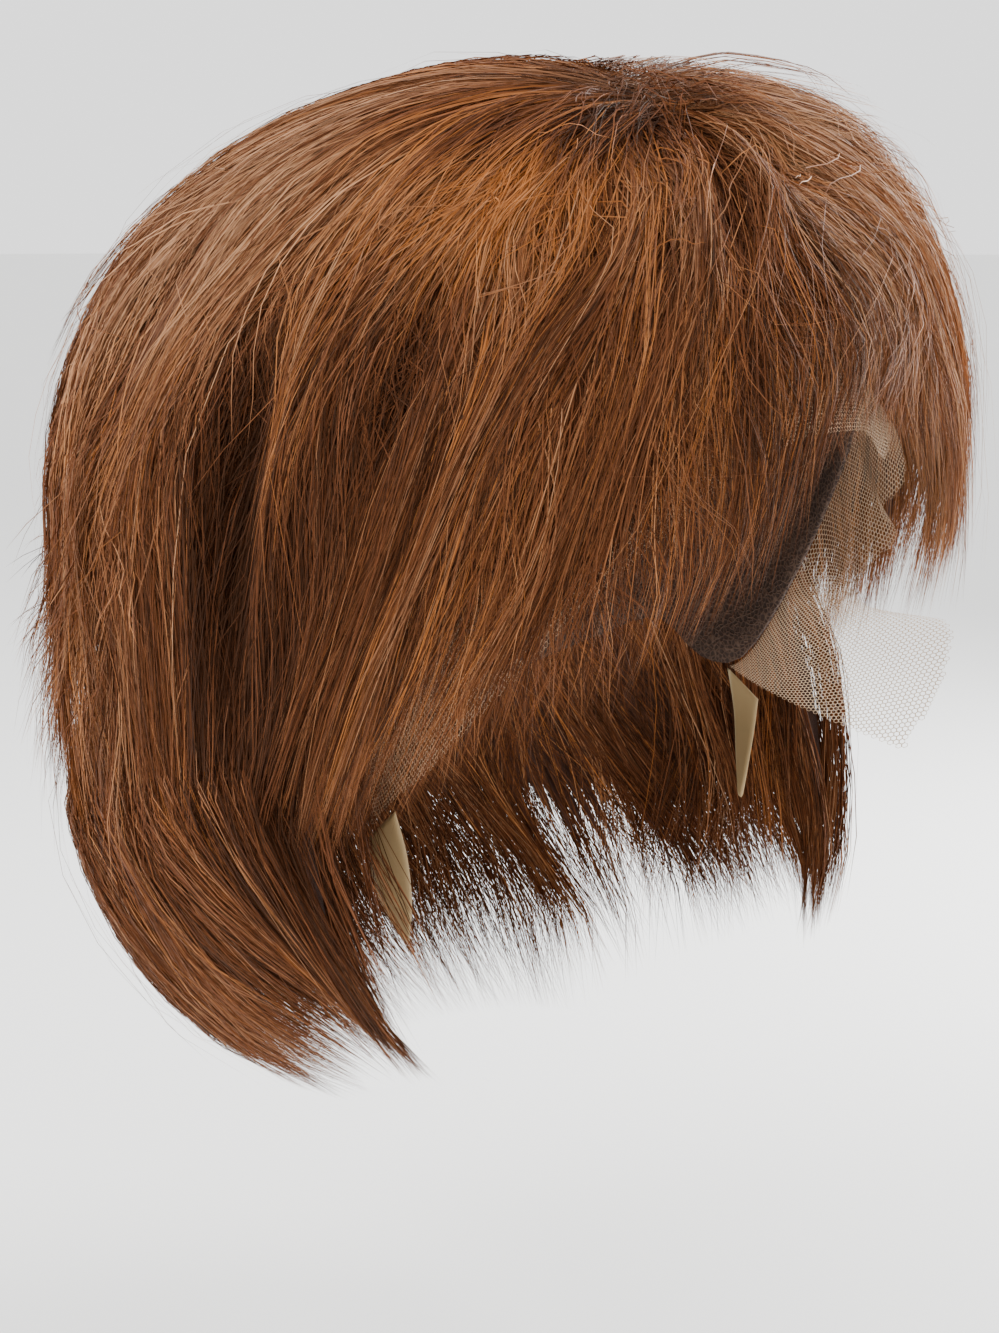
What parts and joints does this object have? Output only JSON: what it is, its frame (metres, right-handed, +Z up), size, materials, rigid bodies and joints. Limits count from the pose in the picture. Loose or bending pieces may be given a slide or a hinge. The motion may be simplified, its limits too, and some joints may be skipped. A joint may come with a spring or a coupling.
{
  "type": "short lace front wig",
  "caption": "Short layered brown wig in its worn form: net cap, sheer ruffled lace front with ear tabs, swept fringe, flicked back and tucked nape.",
  "frame": {"origin": "inside top of the cap, on its middle plane, where the crown of a head carries the wig", "axes": "+Z up, the face side towards -Y, the wearer's left towards +X"},
  "size_m": [0.2482, 0.249, 0.2836],
  "materials": {
    "cap_net": "dark brown net",
    "lace": "sheer beige lace net",
    "ear_tab": "smooth beige cloth",
    "hair": "fine brown hair with amber highlights"
  },
  "bodies": {
    "root": {"cap_net": "cap_net", "lace_front": "lace", "ear_tab_right": "ear_tab", "ear_tab_left": "ear_tab", "hair_crown": "hair", "hair_fringe": "hair", "hair_right": "hair", "hair_left": "hair", "hair_back": "hair", "hair_nape": "hair"}
  },
  "joints": []
}
